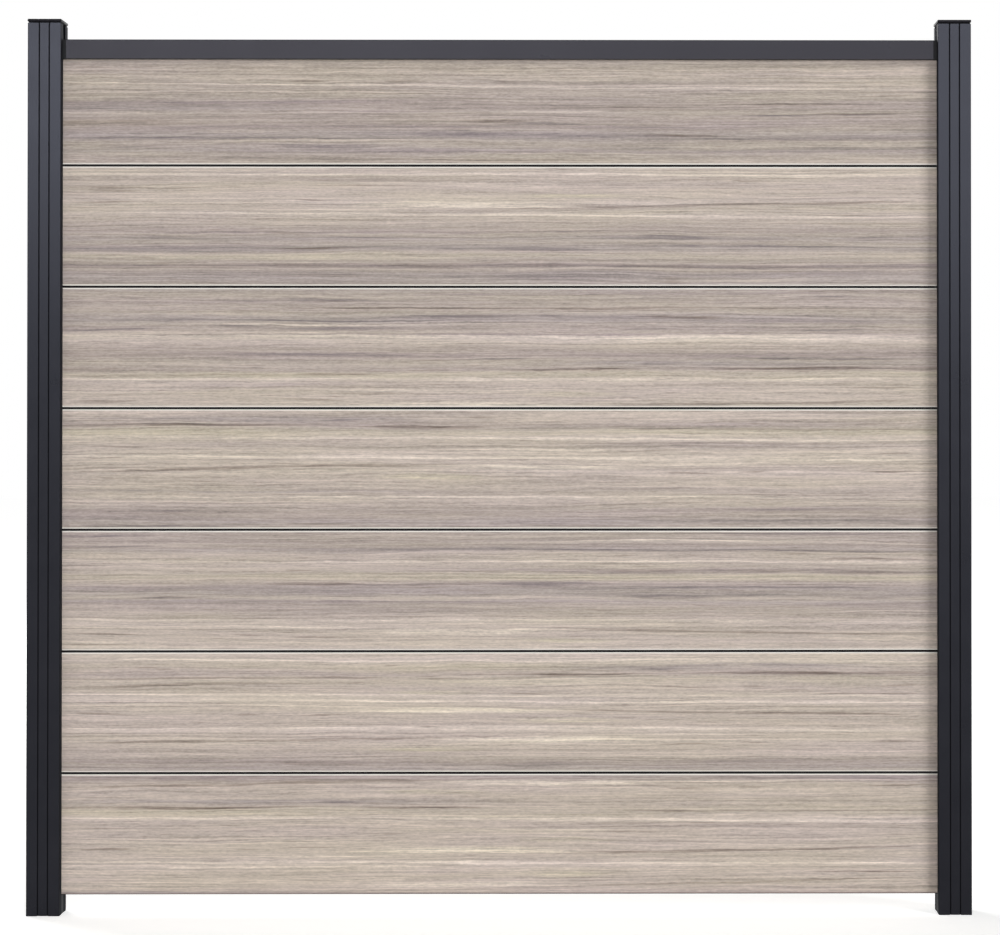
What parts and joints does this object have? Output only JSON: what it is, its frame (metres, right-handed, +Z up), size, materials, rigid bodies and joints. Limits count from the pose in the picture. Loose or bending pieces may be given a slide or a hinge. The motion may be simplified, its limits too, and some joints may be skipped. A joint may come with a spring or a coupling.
{
  "type": "garden privacy screen",
  "caption": "Slot-together garden privacy screen: wide pale composite tongue-and-groove boards stacked between dark slotted aluminium posts, with a top rail and flat post caps.",
  "frame": {"origin": "on the ground under the middle of the panel, halfway between the two posts and halfway through their depth", "axes": "+X along the panel towards the right-hand post, +Y towards the back, +Z up; the front faces -Y"},
  "size_m": [1.937, 0.069, 1.837],
  "materials": {
    "coated_aluminium": "matt powder coat, slate anthracite",
    "wood_composite": "co-extruded skin, streaked sand and lilac grey",
    "black_plastic": "matt moulded",
    "black_rubber": "matt",
    "black_steel": "black coated"
  },
  "bodies": {
    "root": {"post_left": "coated_aluminium", "post_right": "coated_aluminium", "post_cap_left": "coated_aluminium", "post_cap_right": "coated_aluminium", "cover_left_front": "coated_aluminium", "cover_left_back": "coated_aluminium", "cover_left_outer": "coated_aluminium", "cover_right_front": "coated_aluminium", "cover_right_back": "coated_aluminium", "cover_right_outer": "coated_aluminium", "board_1": "wood_composite", "board_2": "wood_composite", "board_3": "wood_composite", "board_4": "wood_composite", "board_5": "wood_composite", "board_6": "wood_composite", "board_7": "wood_composite", "top_rail": "coated_aluminium", "rail_end_left": "black_plastic", "rail_end_right": "black_plastic", "rail_screw_left": "black_steel", "rail_screw_right": "black_steel", "slot_seal_left_front": "black_rubber", "slot_seal_left_back": "black_rubber", "slot_seal_right_front": "black_rubber", "slot_seal_right_back": "black_rubber", "board_support_left": "black_plastic", "board_support_right": "black_plastic"}
  },
  "joints": []
}
